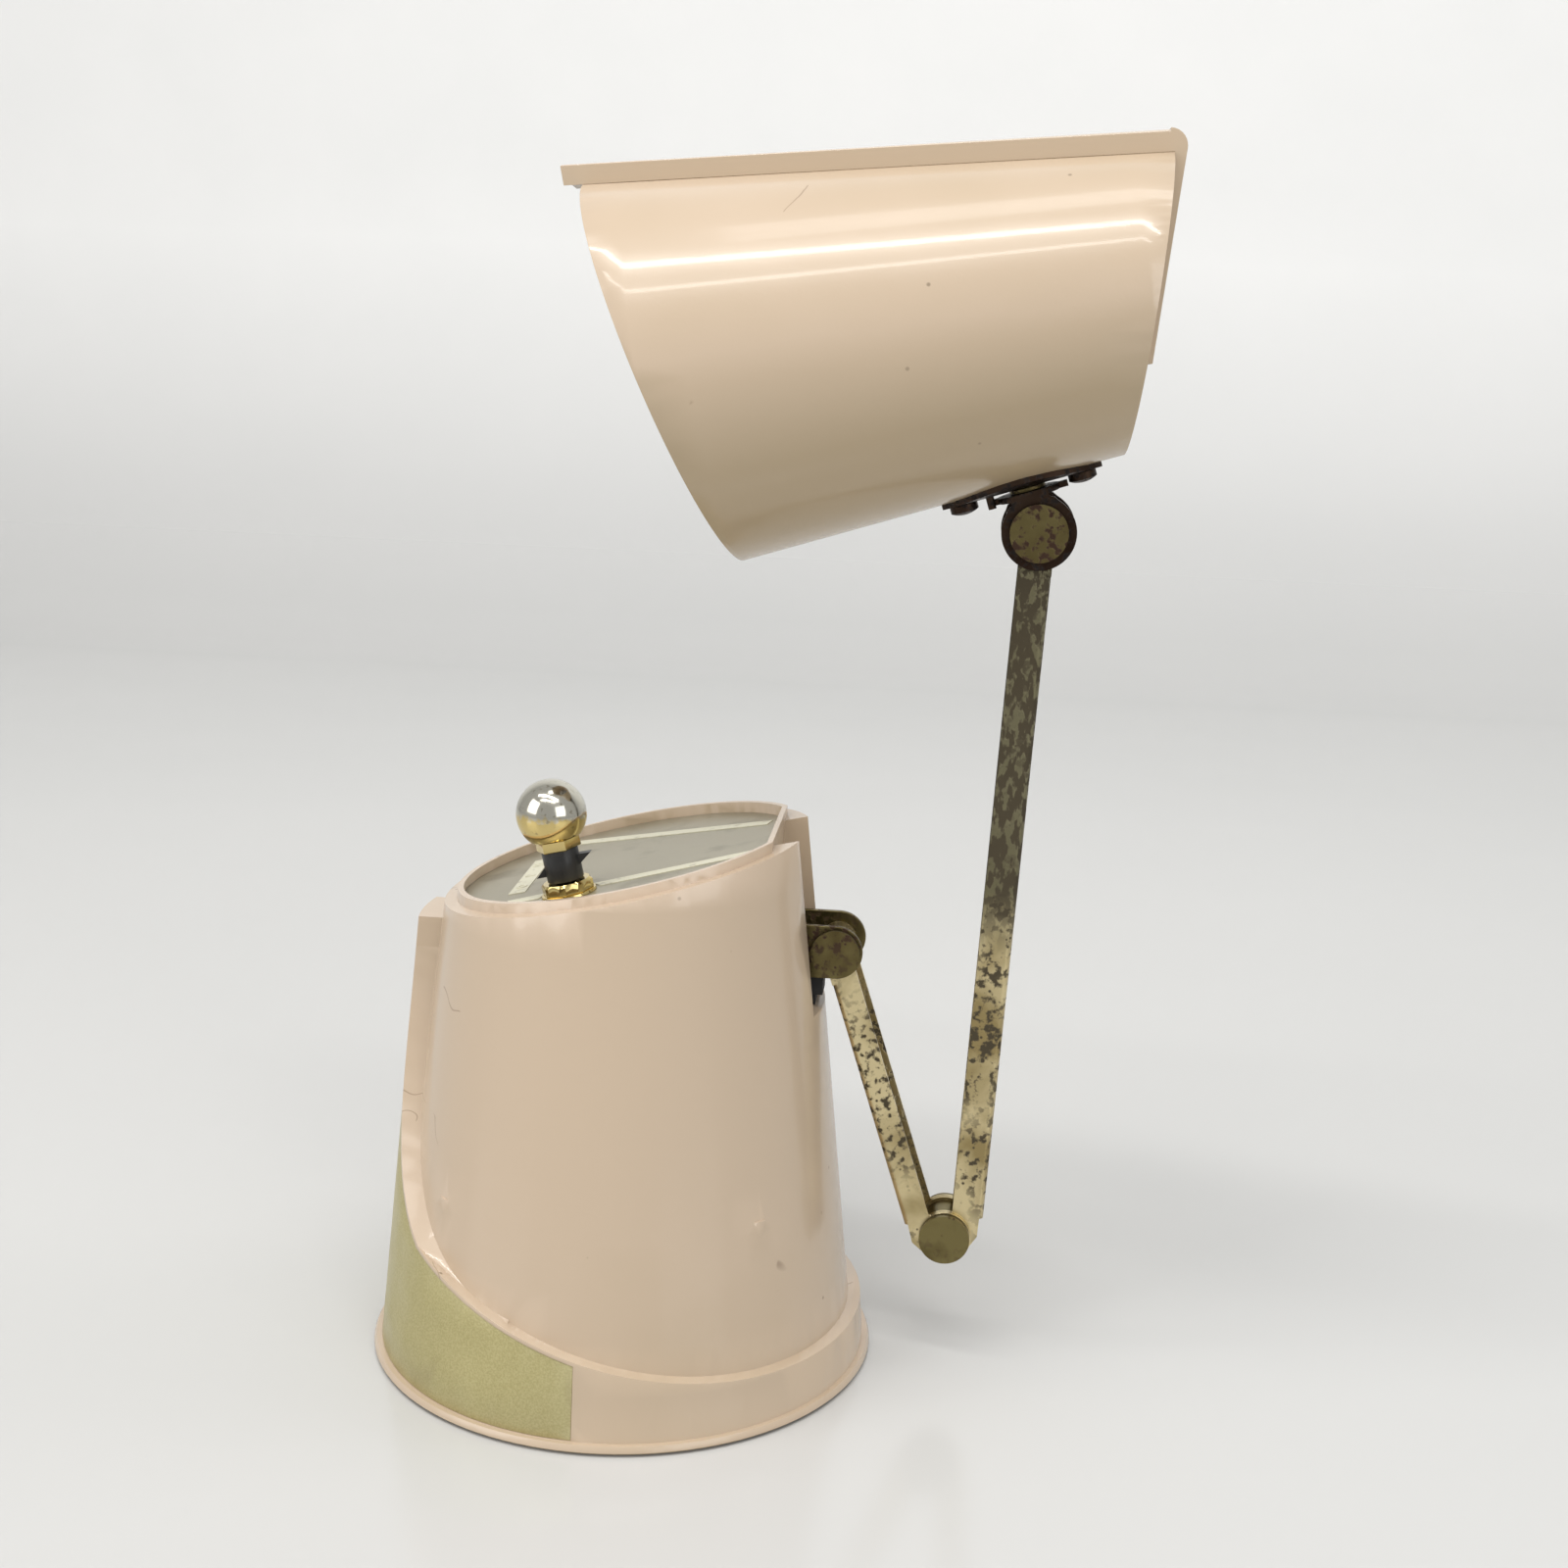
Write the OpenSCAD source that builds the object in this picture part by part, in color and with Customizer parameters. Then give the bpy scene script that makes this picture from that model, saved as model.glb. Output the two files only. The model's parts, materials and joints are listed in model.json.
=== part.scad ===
// Folding high-intensity desk lamp.
// Origin: centre of the base on the table. +Z up, +X towards the arms at the back, -X to the front panel.
// Folded, the shade stands on the slanted shoulder of the base and continues its cone.
// The head parts are drawn in that folded place and then carried to the open pose by head_pose().

/* [Base] */
// Radius of the bottom lip
lip_r = 54; // [53:0.5:56]
// Radius that the main cone would have at table level
cone_r = 50.3; // [50:0.1:51]
// Loss of cone radius per millimetre of height
cone_taper = 0.115; // [0.11:0.001:0.12]
// Radius that the raised front band would have at table level
band_r = 52.6; // [52.4:0.1:53]
// Loss of band radius per millimetre of height
band_taper = 0.086; // [0.082:0.001:0.09]
// Height of the slanted shoulder over the centre
shoulder_z = 107.3; // [106:0.1:109]
// Slant of the shoulder, higher at the back
shoulder_tilt = 13.4; // [12:0.1:15]
// Wall thickness of the base and of the shade
wall = 2.2; // [1.8:0.1:2.4]
// Height of the rim around the dial
rim_h = 2; // [1.5:0.1:2.5]

/* [Arms] */
// Height of the lower pivot
lower_z = 91.25; // [90:0.25:92]
// Distance of the lower pivot behind the centre
lower_x = 43.5; // [43:0.1:44]
// Lean of the short arm from straight down
short_lean = 18.5; // [10:0.5:30]
// Lean of the long arm from straight up
long_lean = 2.4; // [-5:0.1:30]
// Distance from the lower pivot down to the elbow, along the short arm
short_len = 66.9; // [66:0.1:68]
// Distance from the elbow up to the head pivot, along the long arm
long_len = 150.5; // [149:0.5:152]
// Width of the short arm's flanges seen from the side
short_flange = 5.6; // [5:0.1:5.8]
// Width of the long arm's flanges seen from the side
long_flange = 6.6; // [6:0.1:6.8]
// Lean of both arms when folded
folded_lean = 8; // [7.8:0.1:8.2]

/* [Head] */
// Turn of the head from its folded place to the open pose
head_turn = 78.5; // [60:0.5:110]
// Height of the narrow end over the centre, folded
top_z = 202.3; // [198:0.5:206]
// Slant of the narrow end, higher at the front
top_tilt = 16.7; // [14:0.1:19]
// Thickness of the raised strap on the shade
strap_t = 3.7; // [3:0.1:4]

/* [Knob] */
// Radius of the ball
ball_r = 7.05; // [6.5:0.05:7.3]
// Distance from the dial to the centre of the ball
ball_h = 16.4; // [16:0.1:17]

/* [Hidden] */
$fn = 96;
eps = 0.01;
sheet = 0.8;                 // thickness of the arm channels
shade_r = cone_r + 0.7;      // the shade clears the base by a little
foot_h = 0.4;                // the lip stands this far off the table
plate_z = 1.2;               // underside of the bottom plate, on the foot ring
plate_t = 1.2;
shade_gap = 0.3;             // between the folded shade and the shoulder
rim_inset = 2.4;             // from the edge of the shoulder to the rim
rim_t = 1.15;
flat_x = 30.6;               // back face of the rim where the notch cuts it off
dial_top = -0.3;             // dial surface, measured from the shoulder
dial_t = 0.9;
deck_t = 2;                  // moulded deck under the dial
notch_w = 10.6;              // half width of the notch
notch_z = 78.6;              // bottom of the notch
panel_t = 0.7;               // front panel
panel_lip = 0.8;             // edge of the band left around the panel
strap_w = 6.5;               // half width of the strap
band_w = 7.5;                // half width of the band at its top
band_top = 94;
sweep_r = 74;                // radius of the curve that widens the band in front
sweep_z = 87.5;              // height at which the widening starts
ring_top = 11.5;             // height of the ring at the back
ring_r = 199;                // radius of the curve that drops the band to the ring at the sides
ring_x = 50;
split_x = -16;               // front and side curves of the band meet here

short_half = 5;              // outer half width of the short arm
long_half = 4.1;             // outer half width of the long arm, inside the short arm
elbow_out = 4.6;             // elbow pivot from the middle of the short arm
elbow_in = 4.5;              // middle of the long arm from the elbow pivot
play = 0.06;                 // radial clearance of a turning hole
pin_r = 2;                   // shank of the pivots
tab_r = 5.6;                 // round tabs at the elbow
tab_side = 6.9;              // from the elbow pivot to the outer edge of a tab
pin_head_r = 5.05;
bracket_in = 5.15;           // inner half gap of the base bracket
bracket_t = 1.2;
ear_r = 7.4;                 // ears of the head clevis
clevis_in = 4.25;            // inner half gap of the head clevis
clevis_t = 1.4;

// Places of the pivots, as [x, z]
function turned(p, a) = [p[0] * cos(a) + p[1] * sin(a), -p[0] * sin(a) + p[1] * cos(a)];
lower = [lower_x, lower_z];
elbow = lower + turned([elbow_out, -short_len], -short_lean);
upper = elbow + turned([elbow_in, long_len], long_lean);
folded_elbow = lower + turned([elbow_out, -short_len], -folded_lean);
folded_upper = folded_elbow + turned([elbow_in, long_len], -folded_lean);

wall_tilt = atan(cone_taper);                        // lean of the cone wall
saddle_x = -(folded_upper[0] - (shade_r - cone_taper * folded_upper[1])) * cos(wall_tilt);
saddle_t = 1;
stud_r = 2.2;
flange_x = saddle_x + saddle_t + 0.7;                // face of the clevis flange towards the saddle
flange_t = 1.2;
flange_r = 6.2;                                      // the flange turns inside the stop peg
ear_base = 3.8;                                      // half height of the ears where they meet the flange
screw_out = 12;                                      // saddle screws from the middle of the saddle
saddle_mid = -1;                                     // middle of the saddle plate along the wall
peg_at = [-7.6, -1.9];                               // stop peg, along the wall and across it

knob_u = -9.9;                                       // knob axis on the dial, along the slant
knob_y = -20.5;
collar_h = 2.4;
collar_low = ball_h - 7.2;   // underside of the collar, above the dial
nut_h = 2.9;
stem_r = 3.7;
wing_top = 7.6;              // top of the upper wing
wing_low = 4;                // bottom of the lower wing

// ---------- frames ----------

module on_shoulder() { translate([0, 0, shoulder_z]) rotate([0, -shoulder_tilt, 0]) children(); }
module on_knob_axis() { on_shoulder() translate([knob_u, knob_y, 0]) children(); }
module on_lower() { translate([lower[0], 0, lower[1]]) rotate([0, -short_lean, 0]) children(); }
module on_elbow() { translate([elbow[0], 0, elbow[1]]) rotate([0, long_lean, 0]) children(); }

// Carries a part from its folded place to the open pose
module head_pose() {
    translate([upper[0], 0, upper[1]]) rotate([0, head_turn, 0])
        translate([-folded_upper[0], 0, -folded_upper[1]]) children();
}

// Frame of the head hinge: x points out of the shade wall, z runs along the wall to the narrow end
module on_hinge() {
    head_pose() translate([folded_upper[0], 0, folded_upper[1]]) rotate([0, -wall_tilt, 0]) children();
}

// ---------- common shapes ----------

// Cone whose radius is r at table level, between two heights
module cone(r, taper, low, high) {
    translate([0, 0, low]) cylinder(h = high - low, r1 = r - taper * low, r2 = r - taper * high);
}

// Everything between two planes parallel to the shoulder
module shoulder_slab(low, high) {
    on_shoulder() translate([-90, -90, low]) cube([180, 180, high - low]);
}

// Everything above the narrow end of the shade, folded
module beyond_top(offset) {
    translate([0, 0, top_z + offset]) rotate([0, top_tilt, 0]) translate([-90, -90, 0]) cube([180, 180, 80]);
}

module cyl_y(r, low, high) { translate([0, high, 0]) rotate([90, 0, 0]) cylinder(r = r, h = high - low); }
module cyl_x(r, low, high) { translate([low, 0, 0]) rotate([0, 90, 0]) cylinder(r = r, h = high - low); }

// Pair of mirrored copies across the XZ plane
module both_sides() {
    children();
    mirror([0, 1, 0]) children();
}

// Pan head screw along +Z with its head's underside at the origin
module pan_screw(shank_r, len, head_r, head_h) {
    translate([0, 0, -len]) cylinder(r = shank_r, h = len);
    difference() {
        intersection() {
            cylinder(r = head_r, h = head_h);
            translate([0, 0, head_h - 2 * head_r]) sphere(r = 2 * head_r);
        }
        translate([-head_r, -0.4, head_h - 0.6]) cube([2 * head_r, 0.8, 1]);
    }
}

// Pivot pin along Y: shank, and a flat head with a small step outside each ear
module pivot_pin(ear_out, head_r, head_t) {
    cyl_y(pin_r, -ear_out, ear_out);
    both_sides() {
        cyl_y(head_r - 0.5, ear_out, ear_out + 0.4);
        cyl_y(head_r, ear_out + 0.4, ear_out + head_t);
    }
}

// U section of an arm channel, open towards +x, rounded at its web
module channel_section(half, width) {
    bend = 1.3;
    difference() {
        union() {
            translate([bend - width / 2, -half]) square([width - bend, 2 * half]);
            translate([-width / 2, bend - half]) square([width, 2 * (half - bend)]);
            for (s = [-1, 1]) translate([bend - width / 2, s * (half - bend)]) circle(r = bend);
        }
        translate([sheet - width / 2, sheet - half]) square([width, 2 * (half - sheet)]);
    }
}

// ---------- base ----------

// Outline of the raised band seen from the front, drawn in at its edges by inset
module band_front(inset) {
    w = band_w - inset;
    difference() {
        translate([-70, 0]) square([140, band_top - inset]);
        for (s = [-1, 1]) {
            translate([s * (w + sweep_r + inset), sweep_z]) circle(r = sweep_r + inset, $fn = 180);
            translate([s > 0 ? w : -w - 80, sweep_z]) square([80, 80]);
        }
    }
}

// Outline of the band seen from the side, drawn down by inset
module band_side(inset) {
    difference() {
        translate([-60, 0]) square([120, 32]);
        translate([ring_x, ring_top + ring_r]) circle(r = ring_r + inset, $fn = 360);
        translate([ring_x, ring_top - inset]) square([60, 60]);
    }
}

module band_region(inset) {
    translate([-80, 0, 0]) rotate([90, 0, 90]) linear_extrude(80 + split_x) band_front(inset);
    translate([0, 70, 0]) rotate([90, 0, 0]) linear_extrude(140) band_side(inset);
}

module notch_box(grow) {
    translate([flat_x - grow, -notch_w - grow, notch_z - grow])
        cube([60, 2 * (notch_w + grow), 60]);
}

// Solid inside the rim or inside the dial well, down to the table
module well(inset) {
    intersection() {
        cone(cone_r - rim_inset - inset, cone_taper, foot_h, 140);
        translate([-90, -90, 0]) cube([90 + flat_x - inset, 180, 140]);
    }
}

module base_housing() color("mistyrose") {
    difference() {
        union() {
            difference() {
                cone(cone_r, cone_taper, foot_h, 140);
                shoulder_slab(0, 90);
            }
            intersection() {
                well(0);
                shoulder_slab(-1, rim_h);
            }
            intersection() {
                cone(band_r, band_taper, foot_h, band_top);
                band_region(0);
            }
            translate([0, 0, foot_h]) cylinder(r1 = lip_r - 0.5, r2 = lip_r, h = 0.5);
            translate([0, 0, foot_h + 0.5]) cylinder(r1 = lip_r, r2 = lip_r - 0.6, h = 1.2);
        }
        base_cavity();
        notch_box(0);
        intersection() {
            well(rim_t);
            shoulder_slab(dial_top - dial_t, 20);
        }
        panel_space(0);
        on_knob_axis() translate([0, 0, -20]) cylinder(r = 3.3, h = 30);
        translate([flat_x, 0, notch_z + 3]) cyl_x(1.6, -wall - 1, 1);
        bracket_screw_places() cyl_x(1.1, -wall - 1, 1);
        cord_exit() cyl_x(3.4, -12, 4);
    }
    difference() {
        boss_places() translate([0, 0, plate_z + plate_t]) cylinder(r = 3.2, h = 40);
        boss_places() translate([0, 0, 2]) cylinder(r = 1.3, h = 12);
    }
}

module base_cavity() {
    difference() {
        translate([0, 0, -eps]) cone(cone_r - wall, cone_taper, 0, 140);
        shoulder_slab(dial_top - dial_t - deck_t, 90);
        notch_box(wall);
    }
}

// Room for the front panel in the outer face of the band
module panel_space(gap) {
    intersection() {
        difference() {
            cone(band_r + (gap > 0 ? -0.1 : 2), band_taper, 2.2 + gap, band_top);
            cone(band_r - panel_t - 0.1 + gap, band_taper, 0, band_top);
        }
        intersection() {
            band_region(panel_lip + gap);
            translate([-80, -80, 0]) cube([80 - 1.8 - gap, 160, 120]);
        }
    }
}

module front_panel() color("darkkhaki") panel_space(0.05);

module boss_places() { for (a = [45, 135, 225, 315]) rotate([0, 0, a]) translate([42.6, 0, 0]) children(); }

module bottom_plate() color("dimgray") {
    difference() {
        translate([0, 0, plate_z]) cylinder(r = cone_r - wall - 0.4, h = plate_t);
        boss_places() cylinder(r = 1.6, h = 5);
        core_screw_places() cylinder(r = 1.6, h = 5);
    }
}

module bottom_screws() color("silver")
    boss_places() translate([0, 0, plate_z]) rotate([180, 0, 0]) pan_screw(1.3, 8, 2.6, 0.9);

// Flat rubber ring that the lamp stands on
module foot_ring() color("black")
    difference() {
        cylinder(r = 39.5, h = plate_z);
        translate([0, 0, -1]) cylinder(r = 33.5, h = 10);
    }

core_l = 44;
core_w = 22;
core_h = 38;
core_z = plate_z + plate_t;
leg = 7;                     // outer legs and yokes; the middle leg is twice as wide
window_w = 8;                // windows that the winding passes through

module core_screw_places() {
    for (x = [-1, 1], y = [-1, 1]) translate([x * (core_w / 2 + 4), y * (core_l / 2 - 5), 0]) children();
}

module transformer_core() color("slategray") {
    translate([0, 0, core_z]) difference() {
        translate([-core_w / 2, -core_l / 2, 1]) cube([core_w, core_l, core_h]);
        for (s = [-1, 1])
            translate([-core_w, s * (leg + window_w / 2) - window_w / 2, 1 + leg])
                cube([2 * core_w, window_w, core_h - 2 * leg]);
    }
    translate([0, 0, core_z]) difference() {
        for (s = [-1, 1])
            translate([s > 0 ? core_w / 2 - eps : -core_w / 2 - 8 + eps, -core_l / 2, 0])
                cube([8, core_l, 1.2]);
        core_screw_places() translate([0, 0, -1]) cylinder(r = 1.6, h = 4);
    }
    translate([-core_w / 2, -core_l / 2, core_z]) cube([core_w, core_l, 1.2]);
}

module transformer_coil() color("goldenrod") {
    coil_h = core_h - 2 * leg - 0.4;
    outer = leg + window_w - 0.2;
    inner = leg + 0.2;
    translate([0, 0, core_z + 1 + leg + 0.2]) difference() {
        translate([-core_w / 2 - 6, -outer, 0]) cube([core_w + 12, 2 * outer, coil_h]);
        translate([-core_w / 2 - 0.2, -inner, -1]) cube([core_w + 0.4, 2 * inner, coil_h + 2]);
    }
}

module transformer_screws() color("silver")
    core_screw_places() translate([0, 0, core_z + 1.2]) pan_screw(1.5, 3.2, 2.8, 1.6);

module dial_plate() color("darkkhaki") {
    difference() {
        intersection() {
            well(rim_t + 0.1);
            shoulder_slab(dial_top - dial_t, dial_top);
        }
        on_knob_axis() translate([0, 0, -20]) cylinder(r = 3.3, h = 30);
    }
}

// Flat stripe on the dial between two points
module dial_stripe(from, to, width) {
    run = to - from;
    on_shoulder() translate([from[0], from[1], dial_top]) rotate([0, 0, atan2(run[1], run[0])])
        translate([0, -width / 2, 0]) cube([norm(run), width, 0.15]);
}

module scale_mark(y, bars) {
    on_shoulder() translate([-22.6, y, dial_top + 0.15 - eps])
        for (i = [0 : bars - 1])
            translate([-1.1, (i - (bars - 1) / 2) * 1.6 - 0.35, 0]) cube([2.2, 0.7, 0.13]);
}

// Two light stripes, and a label strip marked with a ring for off, one bar for low and two bars for high
module dial_scale() color("beige") {
    difference() {
        union() {
            dial_stripe([-23, -20], [28, -12.2], 3.2);
            dial_stripe([-17, 25], [28, 12.2], 3.2);
        }
        on_knob_axis() translate([0, 0, -5]) cylinder(r = 6.2, h = 10);
    }
    dial_stripe([-22.6, -13], [-22.6, 14], 3.6);
    scale_mark(0.5, 1);
    scale_mark(9.5, 2);
    on_shoulder() translate([-22.6, -8, dial_top + 0.15 - eps]) difference() {
        cylinder(r = 1.2, h = 0.13, $fn = 32);
        translate([0, 0, -1]) cylinder(r = 0.6, h = 2, $fn = 32);
    }
}

module switch_body() color("saddlebrown") {
    under_deck = dial_top - dial_t - deck_t;
    on_knob_axis() {
        difference() {
            translate([-8, -8, under_deck - 13]) cube([16, 16, 13]);
            translate([0, 0, under_deck - 11]) cylinder(r = 2 + play, h = 20);
        }
        difference() {
            translate([0, 0, under_deck - eps]) cylinder(r = 3.2, h = dial_top + nut_h - under_deck);
            translate([0, 0, under_deck - 2]) cylinder(r = 2 + play, h = 20);
        }
        for (x = [-5, 0, 5]) translate([x - 1, 4, under_deck - 18]) cube([2, 0.6, 5.1]);
    }
}

module switch_nut() color("gold")
    on_knob_axis() translate([0, 0, dial_top]) difference() {
        union() {
            cylinder(r = 5.6, h = 0.7);
            translate([0, 0, 0.7 - eps]) cylinder(r = 5.3, h = nut_h - 0.7, $fn = 8);
        }
        translate([0, 0, -1]) cylinder(r = 3.2, h = 10);
    }

stem_low = dial_top + nut_h + 0.3;

// Turned stem with the two pointed wings that show the setting, and the shaft that turns the switch
module knob_stem() color("black")
    on_knob_axis() {
        translate([0, 0, stem_low]) cylinder(r = stem_r, h = collar_low - stem_low);
        translate([0, 0, -12]) cylinder(r = 2, h = stem_low + 12 + eps);
        rotate([90, 0, 0]) translate([0, 0, -1]) linear_extrude(2) {
            polygon([[0, wing_top], [6.3, wing_top], [3.2, wing_top - 2.4], [0, wing_top - 2.4]]);
            polygon([[0, wing_low + 2.2], [-3.4, wing_low + 2.1], [-5.6, wing_low], [0, wing_low + 0.1]]);
        }
    }

module knob_ball() color("gold")
    on_knob_axis() {
        translate([0, 0, ball_h]) sphere(r = ball_r);
        translate([0, 0, collar_low]) cylinder(r = 4.6, h = collar_h, $fn = 6);
    }

// ---------- mains lead ----------

cord_azimuth = 62;
cord_z = 4.6;                // the cord leaves through the ring just over the table
cord_r = 2.1;
cord_out = 16;               // straight part before the bend
cord_turn = 16;              // radius of the bend
cord_run = 44;               // straight part after the bend

module cord_exit() {
    rotate([0, 0, cord_azimuth]) translate([band_r - band_taper * cord_z, 0, cord_z]) children();
}

module cord_grommet() color("black")
    cord_exit() difference() {
        union() {
            cyl_x(3.4, -4.2, 2 + eps);
            cyl_x(4.2, 2, 3.8);
            cyl_x(3.2, 3.8 - eps, 7.5);
        }
        cyl_x(cord_r, -8, 8);
    }

// Follows the cord past its quarter bend
module after_bend() { translate([cord_out + cord_turn, cord_turn, 0]) rotate([0, 0, 90]) children(); }

module mains_cord() color("black")
    cord_exit() {
        cyl_x(cord_r, -9, cord_out);
        translate([cord_out, cord_turn, 0]) rotate([0, 0, -90]) rotate_extrude(angle = 90)
            translate([cord_turn, 0]) circle(r = cord_r);
        after_bend() cyl_x(cord_r, 0, cord_run);
    }

// Two pin plug lying flat on the table
module mains_plug() color("black")
    cord_exit() after_bend() translate([cord_run, 0, 0]) difference() {
        union() {
            cyl_x(3.2, -4, 6);
            intersection() {
                translate([0, -9, -cord_z]) cube([15, 18, 2 * cord_z]);
                translate([2, 0, 0]) cylinder(r = 13.4, h = 20, center = true);
            }
            for (s = [-1, 1]) translate([14, s * 6.3 - 0.75, -3]) cube([15, 1.5, 6]);
        }
        cyl_x(cord_r, -10, 0);
        for (s = [-1, 1]) translate([25.5, 0, 0]) cyl_y(1.5, s * 6.3 - 2, s * 6.3 + 2);
    }

// ---------- bracket and arms ----------

module bracket_screw_places() {
    for (z = [88.2, 94.3]) translate([flat_x, 0, z]) children();
}

module body_bracket() color("darkgoldenrod") {
    low = lower_z - 5.6;
    difference() {
        union() {
            translate([flat_x, -bracket_in - bracket_t, low])
                cube([bracket_t, 2 * (bracket_in + bracket_t), 11.2]);
            both_sides() {
                translate([flat_x, bracket_in, low]) cube([lower_x - flat_x, bracket_t, 11.2]);
                translate([lower_x, 0, lower_z]) cyl_y(5.6, bracket_in, bracket_in + bracket_t);
            }
        }
        translate([lower_x, 0, lower_z]) cyl_y(pin_r, -10, 10);
        bracket_screw_places() cyl_x(1.4, -3, 5);
    }
}

module bracket_screws() color("silver")
    bracket_screw_places() translate([bracket_t, 0, 0]) rotate([0, 90, 0]) pan_screw(1.1, 6, 2.2, 1.2);

// Rubber block where the low voltage lead enters the base under the bracket
module lead_grommet() color("black") {
    translate([flat_x, -3.4, notch_z + 2.4]) cube([10.4, 6.8, 4.4]);
    translate([flat_x, -2.9, notch_z + 0.1]) cube([8.9, 5.8, 2.4]);
    translate([flat_x, 0, notch_z + 3]) cyl_x(1.6, -5, eps);
}

module lower_rivet() color("olive")
    translate([lower_x, 0, lower_z]) pivot_pin(bracket_in + bracket_t, pin_head_r, 1.2);

// Flange end that reaches from the channel to a pivot beside it, as a flat outline in the xz plane.
// The channel's middle is at x = 0 and the pivot is at [out, 0].
module elbow_tab(out, rise, width) {
    polygon([[-width / 2 + 0.8, rise], [width / 2, rise], [out + tab_r * cos(60), tab_r * sin(60)],
        [out, -tab_r + 0.3], [out - tab_r * cos(35), -tab_r * sin(35)], [out - tab_side, 0.6]]);
    translate([out, 0]) circle(r = tab_r);
}

// Turns a flat outline in x and z into a pair of flanges
module flange_pair(half) {
    both_sides() translate([0, half, 0]) rotate([90, 0, 0]) linear_extrude(sheet) children();
}

module short_arm() color("burlywood")
    on_lower() difference() {
        union() {
            translate([0, 0, -short_len + 4.7]) linear_extrude(short_len - 4.7 - 6)
                channel_section(short_half, short_flange);
            flange_pair(short_half) union() {
                translate([-short_flange / 2, -7]) square([short_flange, 7]);
                circle(r = 3.6);
            }
            translate([0, 0, -short_len]) flange_pair(short_half) elbow_tab(elbow_out, 5.5, short_flange);
        }
        cyl_y(pin_r + play, -10, 10);
        translate([elbow_out, 0, -short_len]) cyl_y(pin_r, -10, 10);
    }

module elbow_rivet() color("olive")
    translate([elbow[0], 0, elbow[1]]) rotate([0, -short_lean, 0])
        pivot_pin(short_half, pin_head_r + 0.3, 1.3);

module elbow_bush() color("olive")
    on_elbow() difference() {
        cyl_y(4.9, -long_half + sheet, long_half - sheet);
        cyl_y(pin_r + play, -10, 10);
    }

module long_arm() color("burlywood")
    on_elbow() difference() {
        union() {
            translate([elbow_in, 0, 4.7]) linear_extrude(long_len - 4.7 - 7.5)
                mirror([1, 0]) channel_section(long_half, long_flange);
            translate([elbow_in, 0, long_len]) flange_pair(long_half) union() {
                translate([-long_flange / 2, -8.5]) square([long_flange, 8.5]);
                circle(r = 4.2);
            }
            flange_pair(long_half) translate([elbow_in, 0]) mirror([1, 0])
                elbow_tab(elbow_in, 5.5, long_flange);
        }
        cyl_y(pin_r + play, -10, 10);
        translate([elbow_in, 0, long_len]) cyl_y(pin_r + play, -10, 10);
    }

module upper_rivet() color("olive") on_hinge() pivot_pin(clevis_in + clevis_t, 5.75, 1.3);

// ---------- head ----------

// Forked bracket: two ears on a flange that turns on the swivel stud.
// A short tab meets the stop peg when the head is in line, and the long tab meets it after half a turn.
module head_clevis() color("saddlebrown")
    on_hinge() difference() {
        union() {
            both_sides() translate([0, clevis_in + clevis_t, 0]) rotate([90, 0, 0]) linear_extrude(clevis_t) {
                circle(r = ear_r);
                ear_neck();
            }
            intersection() {
                cyl_x(flange_r, flange_x, flange_x + flange_t);
                translate([flange_x - 1, -clevis_in - clevis_t, -10])
                    cube([9, 2 * (clevis_in + clevis_t), 20]);
            }
            translate([flange_x, -1.05, -7.3]) cube([flange_t, 2.1, 15.2]);
        }
        cyl_y(pin_r, -10, 10);
        cyl_x(stud_r + play, flange_x - 1, flange_x + flange_t + 1);
    }

// Outline of an ear between its round end and the flange
module ear_neck() {
    wide_x = flange_x + flange_t + 0.6;
    polygon([[flange_x + eps, -ear_base], [wide_x, -ear_base], [wide_x + 0.4, -ear_base - 0.9], [-3.4, -6.5],
        [-3.4, 6.5], [wide_x + 0.4, ear_base + 0.9], [wide_x, ear_base], [flange_x + eps, ear_base]]);
}

module swivel_stud() color("olive")
    on_hinge() {
        cyl_x(stud_r, saddle_x - wall - 0.6, flange_x + flange_t + 0.15);
        cyl_x(3.4, flange_x + flange_t + 0.1, flange_x + flange_t + 1);
        cyl_x(3.6, saddle_x + saddle_t, flange_x - 0.1);
        cyl_x(4, saddle_x - wall - 1.6, saddle_x - wall - 0.5);
    }

// Lens shaped outline of the saddle plate with blunt tips, in y and z
module saddle_outline() {
    lens_r = 19;
    intersection() {
        translate([lens_r - 10, 0]) circle(r = lens_r);
        translate([10 - lens_r, 0]) circle(r = lens_r);
        circle(r = 16.2);
    }
}

module on_saddle() { on_hinge() translate([0, 0, saddle_mid]) children(); }

module saddle_plate() color("saddlebrown") {
    difference() {
        intersection() {
            head_pose() difference() {
                cone(shade_r + saddle_t, cone_taper, 150, 196);
                cone(shade_r, cone_taper, 149, 197);
            }
            on_saddle() translate([saddle_x - 8, 0, 0]) rotate([90, 0, 90])
                linear_extrude(12) saddle_outline();
        }
        on_saddle() for (s = [-1, 1]) translate([0, 0, s * screw_out]) cyl_x(1.3, -20, 0);
        on_hinge() cyl_x(stud_r, -20, 0);
    }
    on_hinge() translate([0, peg_at[1], peg_at[0]])
        cyl_x(0.8, saddle_x + saddle_t - 0.6, flange_x + flange_t + 0.4);
}

module saddle_screws() color("saddlebrown")
    on_saddle() for (s = [-1, 1])
        translate([saddle_x + saddle_t, 0, s * screw_out]) rotate([0, 90, 0]) pan_screw(1.3, 7, 2.8, 2.1);

module shade_shell() color("mistyrose")
    head_pose() difference() {
        intersection() {
            cone(shade_r, cone_taper, 60, 260);
            difference() {
                shoulder_slab(shade_gap, 200);
                beyond_top(0);
            }
        }
        difference() {
            cone(shade_r - wall, cone_taper, 59, 261);
            beyond_top(-wall);
        }
        shell_holes();
    }

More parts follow.
